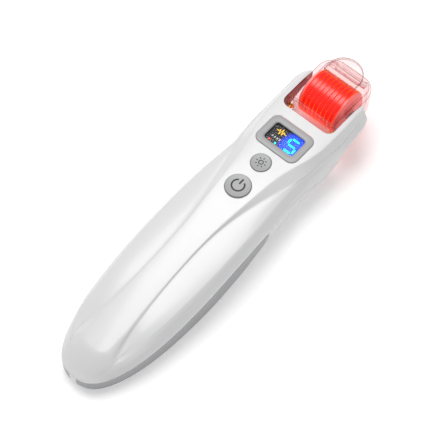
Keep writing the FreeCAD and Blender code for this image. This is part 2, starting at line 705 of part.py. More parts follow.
def make_switch(name, back):
    where = POCKET + " - Sizes." + back
    body = box(name + "_case", "Sizes.switch_size", "Sizes.switch_size", "Sizes.switch_height",
               "0", where, BOARD_TOP)
    bore = rod(name + "_bore", "1.8", "3", "0", where, SWITCH_TOP + " - 1.6")
    node(cut(name, body, bore), name)
    node(rod(name + "_plunger", "1.7", "1.8", "0", where, SWITCH_TOP + " - 0.9"), name + "_plunger")


def make_sleeve(name, radius, back):
    """Soft return sleeve between the board and the button's flange."""
    where = POCKET + " - Sizes." + back
    height = "Sizes.board_depth - 3.1"
    outside = rod(name + "_outside", "Sizes.%s + 0.5" % radius, height, "0", where, BOARD_TOP)
    inside = rod(name + "_inside", "Sizes.%s - 0.05" % radius, height + " + 2", "0", where, BOARD_TOP + " - 1")
    node(cut(name, outside, inside), name)


make_button("light_button", "light_radius", "light_back")
make_button("power_button", "power_radius", "power_back")
make_switch("light_switch", "light_back")
make_switch("power_switch", "power_back")
make_sleeve("light_return_sleeve", "light_radius", "light_back")
make_sleeve("power_return_sleeve", "power_radius", "power_back")


# ---------------------------------------------------------------------------
# Circuit boards and what they carry.

BOARD_UNDER = BOARD_TOP + " - Sizes.board_thickness"
BOARD_LENGTH = "Sizes.board_near - Sizes.board_far"
BOARD_MIDDLE = POCKET + " - (Sizes.board_near + Sizes.board_far) / 2"
node(box("main_board", "Sizes.board_width", BOARD_LENGTH, "Sizes.board_thickness",
         "0", BOARD_MIDDLE, BOARD_UNDER), "main_board")
node(box("controller_chip", "7", "7", "1.2", "0", POCKET + " - 30", BOARD_UNDER + " - 1.2"), "controller_chip")
node(rod("boost_inductor", "3.4", "3.2", "5.5", POCKET + " - 18", BOARD_UNDER + " - 3.2"), "boost_inductor")
capacitors = [
    rod("capacitor_%d" % number, "1.6", "4.0", "-6", POCKET + " - %s" % back, BOARD_UNDER + " - 4")
    for number, back in enumerate((17.5, 22.5), start=1)
]
node(group("capacitors", capacitors), "capacitors")

LAMP_LOW = FACE + " - 12.6"
node(box("lamp_board", "21", "Sizes.board_thickness", "8.8", "0", POCKET + " - 4.4", LAMP_LOW), "lamp_board")
lamps = []
for column in (-7.2, -2.4, 2.4, 7.2):
    for level in (11.4, 7.6):
        lamps.append(box("lamp_%d" % (len(lamps) + 1), "3", "1.4", "2.8", str(column),
                         POCKET + " - 3.1", FACE + " - %s" % level))
node(group("lamps", lamps), "lamps")
node(box("lamp_window", "18", "Sizes.shell_wall + 0.4", "8", "0",
         POCKET + " - Sizes.shell_wall / 2 + 0.2", FACE + " - 12"), "lamp_window")
ribbon_run = box("ribbon_run", "6", "9", "0.4", "-3", POCKET + " - 9.9", BOARD_UNDER + " - 0.4")
ribbon_drop = box("ribbon_drop", "6", "0.4", "2.6", "-3", POCKET + " - 5.2", BOARD_UNDER + " - 2.6")
node(fuse("lamp_ribbon", [ribbon_run, ribbon_drop]), "lamp_ribbon")

BATTERY_Y = POCKET + " - Sizes.battery_back"
node(box("battery_pad", "Sizes.battery_width - 6", "Sizes.battery_length - 10", "0.75",
         "0", BATTERY_Y, "Sizes.shell_wall + 0.05"), "battery_pad")
battery = rounded_block("battery", "Sizes.battery_width", "Sizes.battery_length", "Sizes.battery_height",
                        "3", "0", BATTERY_Y, "Sizes.shell_wall + 0.8")
node(battery, "battery")

BUTT = POCKET + " - Sizes.handle_length"
SOCKET_LOW = "Sizes.socket_level - Sizes.socket_height / 2"
node(box("charge_board", "12", "19", "Sizes.board_thickness", "0", BUTT + " + 15",
         "Sizes.socket_level + Sizes.socket_height / 2"), "charge_board")
shell_outside = rounded_block("socket_outside", "Sizes.socket_width", "Sizes.socket_height",
                              "Sizes.socket_length", "Sizes.socket_height / 2 - 0.05")
shell_inside = rounded_block("socket_inside", "Sizes.socket_width - 0.6", "Sizes.socket_height - 0.6",
                             "Sizes.socket_length", "Sizes.socket_height / 2 - 0.35")
for blank, depth in ((shell_outside, "0.6"), (shell_inside, "-0.4")):
    blank.Placement.Rotation = FreeCAD.Rotation(X_AXIS, -90)
    place(blank, "0", BUTT + " + " + depth, "Sizes.socket_level")
node(cut("charge_socket", shell_outside, shell_inside), "charge_socket")
TONGUE_LENGTH = "(Sizes.socket_length - 2.2)"
node(box("socket_tongue", "6.6", TONGUE_LENGTH, "0.7", "0",
         BUTT + " + 1.8 + %s / 2" % TONGUE_LENGTH, "Sizes.socket_level - 0.35"), "socket_tongue")


# ---------------------------------------------------------------------------
# Case screws from below, and the soft plugs that cover them.

screws = []
plugs = []
for number, (x, y, join) in enumerate(screw_places, start=1):
    shank_length = face_z - join - counterbore + screw_bite
    shank = cylinder(size("screw_radius"), shank_length, x, y, counterbore)
    head = cylinder(size("screw_head"), 1.4, x, y, counterbore - 1.4)
    screws.append(head.fuse(shank))
    plugs.append(cylinder(size("screw_head") + 0.25, 1.2, x, y, 0))
feature("case_screws", Part.makeCompound(screws))
feature("screw_plugs", Part.makeCompound(plugs))


def write_parts():
    doc.recompute()
    for thing in doc.Objects:
        if "Invalid" in thing.State or "Error" in thing.State:
            raise RuntimeError("%s did not build" % thing.Label)
    for thing in NODES:
        if thing.Shape.isNull() or not thing.Shape.isValid():
            raise RuntimeError("%s has no valid shape" % thing.Label)
    os.makedirs("parts", exist_ok=True)
    for thing in NODES:
        thing.Shape.exportStep("parts/%s.step" % thing.Label)


write_parts()
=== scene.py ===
import math

import bmesh
import bpy
import numpy as np
from mathutils import Matrix, Vector


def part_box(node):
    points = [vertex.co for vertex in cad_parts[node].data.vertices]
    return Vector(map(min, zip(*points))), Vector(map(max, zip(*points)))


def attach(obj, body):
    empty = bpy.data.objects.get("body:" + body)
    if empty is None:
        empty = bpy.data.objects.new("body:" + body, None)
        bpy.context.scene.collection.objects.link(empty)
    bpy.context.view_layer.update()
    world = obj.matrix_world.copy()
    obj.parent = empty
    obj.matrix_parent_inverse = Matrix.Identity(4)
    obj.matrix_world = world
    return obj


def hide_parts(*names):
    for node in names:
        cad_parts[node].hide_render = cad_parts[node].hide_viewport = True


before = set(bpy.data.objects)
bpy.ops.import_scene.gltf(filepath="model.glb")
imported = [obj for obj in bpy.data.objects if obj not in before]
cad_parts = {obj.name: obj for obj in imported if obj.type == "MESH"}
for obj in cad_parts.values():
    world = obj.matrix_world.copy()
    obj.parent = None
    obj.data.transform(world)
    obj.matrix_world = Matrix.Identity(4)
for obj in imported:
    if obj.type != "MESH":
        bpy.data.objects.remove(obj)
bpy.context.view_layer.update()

MM = 0.001   # the sections below give their sizes in millimetres

# ---------------------------------------------------------------------------
# Studio.  A pale floor under the device, one large soft light almost overhead,
# and the camera looking down on the handle from its butt.

def link(thing):
    bpy.context.scene.collection.objects.link(thing)
    return thing


def area_light(name, place, size, watts):
    data = bpy.data.lights.new(name, "AREA")
    data.size, data.energy = size, watts
    lamp = link(bpy.data.objects.new(name, data))
    lamp.location = place
    lamp.rotation_euler = (-Vector(place)).to_track_quat("-Z", "Y").to_euler()
    return lamp


def aim_camera():
    azimuth, elevation, roll = math.radians(41.56), math.radians(60.86), math.radians(-0.42)
    distance, target = 0.6359, Vector((-0.0031, 0.0010, 0.0138))
    back = Vector((math.sin(azimuth) * math.cos(elevation),
                   -math.cos(azimuth) * math.cos(elevation), math.sin(elevation)))
    data = bpy.data.cameras.new("camera")
    data.lens, data.sensor_width = 127.2, 36.0
    data.clip_start = 0.01
    camera = link(bpy.data.objects.new("camera", data))
    camera.rotation_mode = "QUATERNION"
    turn = (-back).to_track_quat("-Z", "Y").to_matrix() @ Matrix.Rotation(roll, 3, "Z")
    camera.rotation_quaternion = turn.to_quaternion()
    camera.location = target + back * distance
    bpy.context.scene.camera = camera


def make_floor():
    mesh = bpy.data.meshes.new("floor")
    half = 3.0
    corners = [(-half, -half, 0), (half, -half, 0), (half, half, 0), (-half, half, 0)]
    mesh.from_pydata(corners, [], [(0, 1, 2, 3)])
    floor = link(bpy.data.objects.new("floor", mesh))
    paint = bpy.data.materials.new("floor_paper")
    paint.use_nodes = True
    shader = paint.node_tree.nodes["Principled BSDF"]
    shader.inputs["Base Color"].default_value = (0.95, 0.95, 0.95, 1)
    shader.inputs["Roughness"].default_value = 0.9
    shader.inputs["Emission Color"].default_value = (1, 1, 1, 1)
    shader.inputs["Emission Strength"].default_value = 0.22
    mesh.materials.append(paint)


def light_world(strength):
    world = bpy.data.worlds.new("studio")
    world.use_nodes = True
    world.node_tree.nodes["Background"].inputs["Color"].default_value = (1, 1, 1, 1)
    world.node_tree.nodes["Background"].inputs["Strength"].default_value = strength
    bpy.context.scene.world = world


make_floor()
light_world(0.37)
area_light("key_light", (-0.24, 0.14, 1.0), 0.6, 7.0)
aim_camera()
bpy.context.scene.view_settings.view_transform = "Standard"

# ---------------------------------------------------------------------------
# White shells.  Two injection-moulded halves in gloss ABS.  Fine mould grain
# and the smears of handling are shared by every moulded piece further down.

def node_group(name, inputs, outputs):
    """An empty shader group with float inputs and the named outputs."""
    tree = bpy.data.node_groups.new(name, "ShaderNodeTree")
    for label, value in inputs:
        socket = tree.interface.new_socket(label, in_out="INPUT", socket_type="NodeSocketFloat")
        socket.default_value = value
    for label, kind in outputs:
        tree.interface.new_socket(label, in_out="OUTPUT", socket_type=kind)
    return tree, tree.nodes.new("NodeGroupInput"), tree.nodes.new("NodeGroupOutput")


def make_grain_group():
    """Roughness that wanders with handling, and a fine mould grain for Bump."""
    tree, given, result = node_group(
        "moulded_grain",
        [("Grain per metre", 2500.0), ("Smears per metre", 60.0), ("Roughness", 0.3), ("Spread", 0.08)],
        [("Roughness", "NodeSocketFloat"), ("Height", "NodeSocketFloat")])
    nodes, wires = tree.nodes, tree.links
    where = nodes.new("ShaderNodeTexCoord")
    grain = nodes.new("ShaderNodeTexNoise")
    smear = nodes.new("ShaderNodeTexNoise")
    smear.inputs["Detail"].default_value = 5.0
    smear.inputs["Distortion"].default_value = 1.2
    spread = nodes.new("ShaderNodeMath")
    spread.operation = "MULTIPLY_ADD"
    centred = nodes.new("ShaderNodeMath")
    centred.operation = "SUBTRACT"
    centred.inputs[1].default_value = 0.5
    wires.new(where.outputs["Object"], grain.inputs["Vector"])
    wires.new(where.outputs["Object"], smear.inputs["Vector"])
    wires.new(given.outputs["Grain per metre"], grain.inputs["Scale"])
    wires.new(given.outputs["Smears per metre"], smear.inputs["Scale"])
    wires.new(smear.outputs["Fac"], centred.inputs[0])
    wires.new(centred.outputs[0], spread.inputs[0])
    wires.new(given.outputs["Spread"], spread.inputs[1])
    wires.new(given.outputs["Roughness"], spread.inputs[2])
    wires.new(spread.outputs[0], result.inputs["Roughness"])
    wires.new(grain.outputs["Fac"], result.inputs["Height"])
    return tree


grain_group = make_grain_group()


def moulded(name, colour, roughness, spread=0.08, bump=0.02, grain=2500.0, smears=60.0,
            mottle=0.03, **sockets):
    """A plastic, metal or rubber finish built on the shared grain."""
    finish = bpy.data.materials.new(name)
    finish.use_nodes = True
    nodes, wires = finish.node_tree.nodes, finish.node_tree.links
    shader = nodes["Principled BSDF"]
    skin = nodes.new("ShaderNodeGroup")
    skin.node_tree = grain_group
    skin.inputs["Grain per metre"].default_value = grain
    skin.inputs["Smears per metre"].default_value = smears
    skin.inputs["Roughness"].default_value = roughness
    skin.inputs["Spread"].default_value = spread
    wires.new(skin.outputs["Roughness"], shader.inputs["Roughness"])
    raised = nodes.new("ShaderNodeBump")
    raised.inputs["Strength"].default_value = bump
    raised.inputs["Distance"].default_value = 0.0002
    wires.new(skin.outputs["Height"], raised.inputs["Height"])
    wires.new(raised.outputs["Normal"], shader.inputs["Normal"])
    tint = nodes.new("ShaderNodeMix")
    tint.data_type = "RGBA"
    tint.inputs[6].default_value = (*colour, 1)
    tint.inputs[7].default_value = (*[c * (1 - mottle) for c in colour], 1)
    wires.new(skin.outputs["Height"], tint.inputs[0])
    wires.new(tint.outputs[2], shader.inputs["Base Color"])
    for label, value in sockets.items():
        shader.inputs[label.replace("_", " ").title().replace("Ior", "IOR")].default_value = value
    return finish


def flow(points, places):
    """A smooth line through (place, value) points, as a cubic Hermite curve."""
    x, v = np.array(points, float).T
    slope = np.gradient(v, x)
    x_out = np.clip(places, x[0], x[-1])
    i = np.clip(np.searchsorted(x, x_out) - 1, 0, len(x) - 2)
    h = x[i + 1] - x[i]
    t = (x_out - x[i]) / h
    return ((2 * t**3 - 3 * t**2 + 1) * v[i] + (t**3 - 2 * t**2 + t) * h * slope[i]
            + (3 * t**2 - 2 * t**3) * v[i + 1] + (t**3 - t**2) * h * slope[i + 1])


def eased(corners, radii, runs, steps=4):
    """An open line with straight runs and eased corners; runs bulge outwards."""
    corners = [np.array(c, float) for c in corners]
    line = []
    start = corners[0]
    for n in range(1, len(corners)):
        here = corners[n]
        if n < len(corners) - 1:
            back, ahead = corners[n - 1] - here, corners[n + 1] - here
            ease_in = here + back * min(0.45, radii[n - 1] / max(np.linalg.norm(back), 1e-6))
            ease_out = here + ahead * min(0.45, radii[n - 1] / max(np.linalg.norm(ahead), 1e-6))
        else:
            ease_in = ease_out = here
        count, bulge = runs[n - 1]
        along = ease_in - start
        normal = np.array([-along[1], along[0]]) / max(np.linalg.norm(along), 1e-6)
        for t in np.linspace(0, 1, count + 1)[:-1]:
            line.append(start + along * t + normal * bulge * 4 * t * (1 - t))
        if n < len(corners) - 1:
            for t in np.linspace(0, 1, steps + 1)[:-1]:
                line.append(ease_in * (1 - t)**2 + here * 2 * t * (1 - t) + ease_out * t**2)
        start = ease_out
    line.append(corners[-1])
    return line


def mesh_piece(name, points, faces, finish, smooth=32.0):
    """A closed or open mesh from millimetre points, cleaned and shaded."""
    mesh = bpy.data.meshes.new(name)
    mesh.from_pydata([Vector(p) * MM for p in points], [], faces)
    thing = link(bpy.data.objects.new(name, mesh))
    clean(mesh, smooth)
    mesh.materials.append(finish)
    return thing


def clean(mesh, smooth, flip=True):
    form = bmesh.new()
    form.from_mesh(mesh)
    bmesh.ops.remove_doubles(form, verts=form.verts, dist=0.004 * MM)
    bmesh.ops.dissolve_degenerate(form, edges=form.edges, dist=0.002 * MM)
    if flip:
        bmesh.ops.recalc_face_normals(form, faces=form.faces)
    form.to_mesh(mesh)
    form.free()
    mesh.shade_smooth()
    mesh.set_sharp_from_angle(angle=math.radians(smooth))


def loft(name, rings, finish, smooth=32.0, closed=False):
    """A skin over rings with equal point counts, capped unless it is closed."""
    count = len(rings[0])
    points = [tuple(p) for ring in rings for p in ring]
    faces = []
    pairs = range(len(rings)) if closed else range(len(rings) - 1)
    for row in pairs:
        after = (row + 1) % len(rings)
        for n in range(count):
            m = (n + 1) % count
            faces.append((row * count + n, row * count + m, after * count + m, after * count + n))
    if not closed:
        faces.append(tuple(range(count)))
        faces.append(tuple(range((len(rings) - 1) * count, len(rings) * count)))
    return mesh_piece(name, points, faces, finish, smooth)


def settle(thing, smooth=32.0):
    """Applies a piece's modifiers and leaves a plain mesh."""
    graph = bpy.context.evaluated_depsgraph_get()
    mesh = bpy.data.meshes.new_from_object(thing.evaluated_get(graph))
    thing.modifiers.clear()
    thing.data = mesh
    clean(mesh, smooth, flip=False)
    return thing


def carve(thing, cutters, smooth=32.0, mode="DIFFERENCE"):
    for cutter in cutters:
        step = thing.modifiers.new("cut", "BOOLEAN")
        step.object, step.operation, step.solver = cutter, mode, "EXACT"
    settle(thing, smooth)
    for cutter in cutters:
        bpy.data.objects.remove(cutter)
    return thing


def rounded_outline(width, length, radius, x=0.0, y=0.0, steps=8):
    """Plan outline of a rectangle with round corners, anticlockwise."""
    outline = []
    for quarter, (sx, sy) in enumerate(((1, 1), (-1, 1), (-1, -1), (1, -1))):
        for step in range(steps + 1):
            angle = math.pi / 2 * (quarter + step / steps)
            outline.append((x + sx * (width / 2 - radius) + radius * math.cos(angle),
                            y + sy * (length / 2 - radius) + radius * math.sin(angle)))
    return outline


def prism(name, outline, low, high, finish, smooth=32.0):
    return loft(name, [[(x, y, z) for x, y in outline] for z in (low, high)], finish, smooth)


def stack(name, levels, finish, smooth=32.0, closed=False):
    """Outlines one above another: each level is (outline, height)."""
    return loft(name, [[(x, y, z) for x, y in outline] for outline, z in levels], finish, smooth, closed)


def rest_on(thing, body, slot_name, *nodes):
    """The piece moves with a body and stands for CAD nodes, which it hides. slot_name is not used."""
    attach(thing, body)
    if nodes:
        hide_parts(*nodes)
    return thing


def box_mm(node):
    low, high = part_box(node)
    return low / MM, high / MM


# The long lines of the handle.  Each point is (millimetres from the butt, value).
shell_low, shell_high = box_mm("top_shell")
BEZEL_PROUD = 0.5     # display frame above the display face
DISPLAY_BACK = 13.3   # display centre back from the pocket's near edge
BAND_PROUD = 0.08     # the contact band stands this far out of the shells
SHELL_WALL = 1.8
WIDEST = 65.5         # where the handle is widest
HALF_GRIP = 21.0      # half width there
BUTT_FULLNESS = 2.5   # power of the rounded butt's outline
butt = shell_low.y
bezel_low, bezel_high = box_mm("display_bezel")
display_y = (bezel_low.y + bezel_high.y) / 2
face = bezel_high.z - BEZEL_PROUD
pocket = display_y + DISPLAY_BACK
grip = pocket - butt
full_half = shell_high.x - BAND_PROUD

SPINE = [(9, 7.8), (20, 7.6), (34, 6.6), (50, 6.05), (62, 5.9), (75, 6.15), (89, 7.2), (102, 8.5),
         (116, 10.3), (123, 12.0), (130, 14.0), (137, 15.3), (146, 15.6), (167, 15.0)]
LEAF_IN = [(14.5, 10.3), (22, 8.7), (35, 7.2), (48, 6.4), (62, 6.15), (74, 6.45), (86, 7.75),
           (99, 10.3), (112, 13.5), (122, 16.2), (132, 17.2), (146, 17.6), (167, 16.8)]
LEAF_OUT = [(14.5, 10.7), (24, 13.5), (37, 16.2), (50, 17.4), (66, 18.15), (88, 18.15), (102, 17.45),
            (115, 16.5), (122, 16.4), (132, 17.5), (146, 17.9), (167, 17.1)]
CHAMFER = [(14, 13.6), (21.5, 16.3), (37, 18.8), (53, 20.0), (70, 20.3), (85, 20.0), (101, 19.2),
           (110, 18.4), (118, 17.8), (131, 19.1), (146, 19.2), (159, 18.8), (164, 18.0), (167, 15.2)]
SEAM_DEPTH = [(0, 20.0), (15, 19.0), (40, 16.4), (65.5, 13.6), (90, 11.3), (118, 11.0), (126, 12.8),
              (134, 14.8), (144.5, 12.8), (149, 11.0), (154, 8.6), (159, 6.9), (164, 5.9), (166.5, 5.6)]
LEAF_IN_DROP = [(0, 0.3), (14, 2.6), (30, 1.3), (60, 1.0), (90, 1.4), (110, 2.4), (120, 3.2), (146, 3.4),
                (158, 2.8), (164, 2.2), (167, 1.6)]
LEAF_OUT_DROP = [(0, 0.8), (14, 2.7), (30, 2.0), (60, 2.5), (90, 2.8), (110, 3.0), (120, 3.4), (146, 3.8),
                 (158, 3.2), (164, 2.6), (167, 2.0)]
CHAMFER_DROP = [(0, 1.2), (8, 2.9), (21, 3.7), (40, 4.7), (65, 5.2), (108, 5.4), (126, 5.6), (144, 5.5),
                (158, 4.6), (164, 3.6), (167, 2.8)]


def seam_half(s):
    """Half width at the joint line: a full round butt, a waist, then the head."""
    butt_share = np.clip((WIDEST - s) / WIDEST, 0, 1)
    back = full_half * (1 - butt_share**BUTT_FULLNESS) ** (1 / BUTT_FULLNESS)
    ahead = flow([(65.5, 21.0), (90, 20.54), (108, 19.74), (118.5, 19.05), (126, 19.2),
                  (134, 19.74), (144.5, 19.36), (158, 19.3), (163, 18.8), (165.5, 17.3), (166.5, 15.4)], s)
    return np.where(s < WIDEST, back, ahead * full_half / HALF_GRIP)


def top_depth(s):
    """Drop of the spine below the display face: level at the head, falling to the butt."""
    behind = np.minimum(s - 115.7, 0)
    fall = 1.528e-3 * behind**2 + 0.363e-5 * behind**3
    rounding = 2.2 * (1 - np.sqrt(1 - (1 - np.clip(s / 6.0, 0, 1)) ** 2))
    tips = 1.4 * np.clip((s - 158) / 8.5, 0, 1) ** 2
    return fall + rounding + tips


def shell_stations(end):
    near = 0.04 + 14 * np.linspace(0, 1, 26) ** 2.2
    return np.concatenate([near, np.linspace(14, end, 96)[1:]])


def bevel_height(s, x):
    """Height of the bevel that wraps the butt, a cone between two outlines."""
    back = max(0.0, (WIDEST - s) / WIDEST)
    outline = (back**BUTT_FULLNESS + (x / HALF_GRIP) ** BUTT_FULLNESS) ** (1 / BUTT_FULLNESS)
    inner = 13.2 if s < 9.8 else float(top_depth(s) + flow([(9.8, 0.4), (14, 1.3), (24, 2.2)], s))
    outer = float(flow([(0, 18.6), (5, 18.2), (9.8, 17.3), (14, 16.4), (24, 14.3)], s))
    lowest = float(flow(SEAM_DEPTH, s)) - 0.1
    return face - float(np.interp(outline, [0.60, 0.85, 0.965, 1.0], [inner - 10, inner, outer, lowest]))


def top_section(s, skin=0.0):
    """Half section of the upper shell from the middle outwards."""
    seam = float(seam_half(s))
    chamfer = min(float(flow(CHAMFER, s)), seam * 0.965) if s > 14 else seam * 0.93
    fade = min(1.0, s / 20.0)
    spine = min(float(flow(SPINE, s)), chamfer * 0.62) if s < 40 else float(flow(SPINE, s))
    leaf_in = min(max(float(flow(LEAF_IN, s)), spine + 0.12), chamfer - 0.5)
    leaf_out = min(max(float(flow(LEAF_OUT, s)), leaf_in + 0.05), chamfer - 0.3)
    if s < 14.5:
        leaf_in = spine + (chamfer - spine) * 0.45
        leaf_out = leaf_in + 0.05
    top = face - float(top_depth(s)) - skin
    crown = 0.45 * float(np.clip((100 - s) / 40, 0, 1))
    drops = [float(flow(line, s)) for line in (LEAF_IN_DROP, LEAF_OUT_DROP, CHAMFER_DROP)]
    low = face - float(flow(SEAM_DEPTH, s)) + 0.1
    if skin:
        low -= 3.0
    floor_of_chamfer = max(top - drops[2], face - float(flow(SEAM_DEPTH, s)) + 0.6)
    corners = [(0, top), (spine - skin, top - crown * fade),
               (leaf_in - skin, max(top - drops[0], floor_of_chamfer)),
               (leaf_out - skin, max(top - drops[1], floor_of_chamfer)), (chamfer - skin, floor_of_chamfer),
               (seam - skin, low)]
    corners = [(max(x, 0.0), z) for x, z in corners]
    soft = 0.5 + 3.5 * max(0.0, 1 - s / 26.0)
    runs = [(6, 0.1), (3, 0.0), (7, 0.22), (4, 0.12), (4, 0.2)]
    line = eased(corners, [soft, 0.3 + soft * 0.4, 0.55, 1.3], runs)
    if s > 24:
        return line
    share = min(1.0, (24 - s) / 6)
    return [(x, z + share * min(0.0, bevel_height(s, x + skin) - skin - z)) for x, z in line]


def mirrored_ring(half, y):
    right = [(x, y, z) for x, z in reversed(half)]
    left = [(-x, y, z) for x, z in half[1:]]
    return right + left


def make_top_shell(finish):
    rings = [mirrored_ring(top_section(s), butt + s) for s in shell_stations(166.4)]
    shell = loft("upper_shell", rings, finish)
    hollow = [mirrored_ring(top_section(s, SHELL_WALL), butt + s)
              for s in np.linspace(SHELL_WALL + 0.6, grip - SHELL_WALL, 60)]
    cutters = [loft("hollow", hollow, finish)]
    outline = rounded_outline(27.0, 80.0, 3.5, 0, pocket + 40.0)
    cutters.append(prism("pocket", outline, -60, 90, finish))
    cutters.append(prism("sight", rounded_outline(22.2, 16.4, 3.7, 0, display_y), face - 6, face + 6, finish))
    for node, gap in (("light_button", 0.2), ("power_button", 0.2)):
        low, high = box_mm(node)
        radius = (high.x - low.x) / 2 - 0.7 + gap
        cutters.append(round_bar("hole", radius, (low.y + high.y) / 2, face - 2.0, face + 6, finish))
    window_low, window_high = box_mm("lamp_window")
    cutters.append(prism("light_port", [(-9, window_low.y - 1), (9, window_low.y - 1), (9, window_high.y + 1),
                                        (-9, window_high.y + 1)], window_low.z, window_high.z, finish))
    carve(shell, cutters)
    return rest_on(shell, "handle", "white_shell", "top_shell")


def round_bar(name, radius, y, low, high, finish, steps=64):
    outline = [(radius * math.cos(2 * math.pi * n / steps), y + radius * math.sin(2 * math.pi * n / steps))
               for n in range(steps)]
    return prism(name, outline, low, high, finish)


white_gloss = moulded("gloss_white", (0.80, 0.80, 0.805), 0.24, 0.06, 0.012, mottle=0.012,
                      coat_weight=0.1, coat_roughness=0.08)
make_top_shell(white_gloss)

# ---------------------------------------------------------------------------
# Back shell.  The lower half of the case: a shallow boat in the same white
# plastic, flat underneath where it lies on the table.

SIDE_DEPTH = [(0, 25.6), (3.5, 26.2), (8, 26.2), (40, 25.6), (60, 25.0), (70, 24.0), (80, 22.4), (90, 19.4),
              (100, 16.6), (110, 15.6), (122, 15.7), (134, 17.0), (144.5, 15.1)]
FLOOR_DEPTH = [(0, 25.6), (1.5, 27.0), (3.5, 27.5), (90, 27.5), (108, 26.8), (118.5, 25.0), (126, 23.3),
               (134, 22.0), (144.5, 21.4)]


def back_section(s, skin=0.0):
    """Half section of the lower shell, from the seam down to the middle."""
    half = float(seam_half(s))
    seam = face - float(flow(SEAM_DEPTH, s)) - 0.1
    side = face - float(flow(SIDE_DEPTH, s))
    low = max(face - float(flow(FLOOR_DEPTH, s)), 0.0) + skin
    corners = [(half - skin, seam + (3.0 if skin else 0.0)), (half - skin, side),
               (half * 0.90 - skin * 0.8, low + (side - low) * 0.4), (half * 0.70 - skin * 0.5, low),
               (0, low)]
    corners = [(max(x, 0.0), z) for x, z in corners]
    return eased(corners, [2.4, 2.0, 3.0], [(6, 0.0), (3, 0.1), (3, 0.1), (4, 0.0)], 5)


def make_back_shell(finish):
    def ring(s, skin=0.0):
        half = back_section(s, skin)
        return [(x, butt + s, z) for x, z in half] + [(-x, butt + s, z) for x, z in reversed(half[:-1])]
    shell = loft("lower_shell", [ring(s) for s in shell_stations(grip)], finish)
    hollow = [ring(s, SHELL_WALL) for s in np.linspace(SHELL_WALL + 0.6, grip - SHELL_WALL, 60)]
    cutters = [loft("hollow", hollow, finish)]
    carve(shell, cutters)
    return rest_on(shell, "handle", "white_shell", "back_shell")


make_back_shell(white_gloss)

# ---------------------------------------------------------------------------
# Contact band.  A strip of satin stainless steel bent round the butt and both
# flanks, which the palm touches.  It is brushed along its length.

BAND_REACH = 98.0
BAND_HEIGHT = 10.6


def band_edges(s):
    """Top and bottom height of the band, which closes in a round tip."""
    upper = face - float(flow(SEAM_DEPTH, s)) - 0.45
    side = face - float(flow(SIDE_DEPTH, s))
    lower = max(upper - BAND_HEIGHT, side + 0.8, 1.4)
    closing = max(0.0, (s - (BAND_REACH - 6.0)) / 6.0)
    share = max(math.sqrt(max(0.0, 1 - closing**2)), 0.03)
    shut = (upper - lower) * (1 - share)
    return upper - 0.3 * shut, lower + 0.7 * shut


def back_half_at(s, height):
    """Half width of the lower shell at a height, read off its section."""
    line = back_section(s)
    xs = [p[0] for p in line][::-1]
    zs = [p[1] for p in line][::-1]
    return float(np.interp(height, zs, xs))


def make_band(finish):
    places = list(0.12 + (BAND_REACH - 0.12) * np.linspace(0, 1, 90) ** 1.5)
    rows = 9
    right = []
    for s in reversed(places):
        upper, lower = band_edges(s)
        heights = [lower + (upper - lower) * n / (rows - 1) for n in range(rows)]
        right.append([(back_half_at(s, z), butt + s, z) for z in heights])
    left = [[(-x, y, z) for x, y, z in column] for column in reversed(right)]
    columns = right + left
    points = [p for column in columns for p in column]
    faces = [(c * rows + r, (c + 1) * rows + r, (c + 1) * rows + r + 1, c * rows + r + 1)
             for c in range(len(columns) - 1) for r in range(rows - 1)]
    mesh = bpy.data.meshes.new("contact_strip")
    mesh.from_pydata([Vector(p) * MM for p in points], [], faces)
    paint_map = mesh.uv_layers.new(name="along")
    for loop in mesh.loops:
        column, row = divmod(loop.vertex_index, rows)
        paint_map.data[loop.index].uv = (column / len(columns), row / (rows - 1))
    strip = link(bpy.data.objects.new("contact_strip", mesh))
    clean(mesh, 40, flip=True)
    thick = strip.modifiers.new("thickness", "SOLIDIFY")
    thick.thickness, thick.offset = 0.34 * MM, -0.6
    thick.use_even_offset = False
    settle(strip, 40)
    mesh = strip.data
    mesh.materials.clear()
    mesh.materials.append(finish)
    return rest_on(strip, "handle", "band_metal", "contact_band")


def brushed(name, colour, roughness):
    """Steel with long fine scratches."""
    finish = moulded(name, colour, roughness, 0.1, 0.0, mottle=0.05, metallic=1.0)
    nodes, wires = finish.node_tree.nodes, finish.node_tree.links
    shader = nodes["Principled BSDF"]
    where = nodes.new("ShaderNodeUVMap")
    where.uv_map = "along"
    stretch = nodes.new("ShaderNodeMapping")
    stretch.inputs["Scale"].default_value = (6, 90, 1)
    scratches = nodes.new("ShaderNodeTexNoise")
    scratches.inputs["Scale"].default_value = 6.0
    scratches.inputs["Detail"].default_value = 6.0
    raised = nodes.new("ShaderNodeBump")
    raised.inputs["Strength"].default_value = 0.12
    raised.inputs["Distance"].default_value = 0.0001
    wires.new(where.outputs[0], stretch.inputs[0])
    wires.new(stretch.outputs[0], scratches.inputs["Vector"])
    wires.new(scratches.outputs["Fac"], raised.inputs["Height"])
    wires.new(raised.outputs["Normal"], shader.inputs["Normal"])
    return finish


make_band(brushed("satin_steel", (0.40, 0.40, 0.41), 0.46))

# ---------------------------------------------------------------------------
# Display frame.  A satin grey ring that drops through the shell and is held
# from inside by its flange.  Its top edge is rounded over.

def make_bezel(finish):
    levels = []
    for grow, z in ((2.0, -3.3), (2.0, -2.5), (0.0, -2.5), (0.0, 0.1), (-0.35, 0.4), (-0.9, 0.5)):
        levels.append((rounded_outline(22.0 + grow, 16.2 + grow, 3.6 + grow / 2, 0, display_y), face + z))
    for grow, z in ((1.3, 0.5), (0.5, 0.36), (0.0, 0.05), (0.0, -0.1), (1.5, -0.1), (1.5, -3.3)):
        levels.append((rounded_outline(15.4 + grow, 9.5 + grow, 1.3 + grow / 2, 0, display_y), face + z))
    bezel = stack("display_frame", levels, finish, 40, closed=True)
    return rest_on(bezel, "handle", "bezel_grey", "display_bezel")


satin_grey = moulded("satin_grey", (0.42, 0.42, 0.425), 0.38, 0.06, 0.05, grain=6000)
make_bezel(satin_grey)

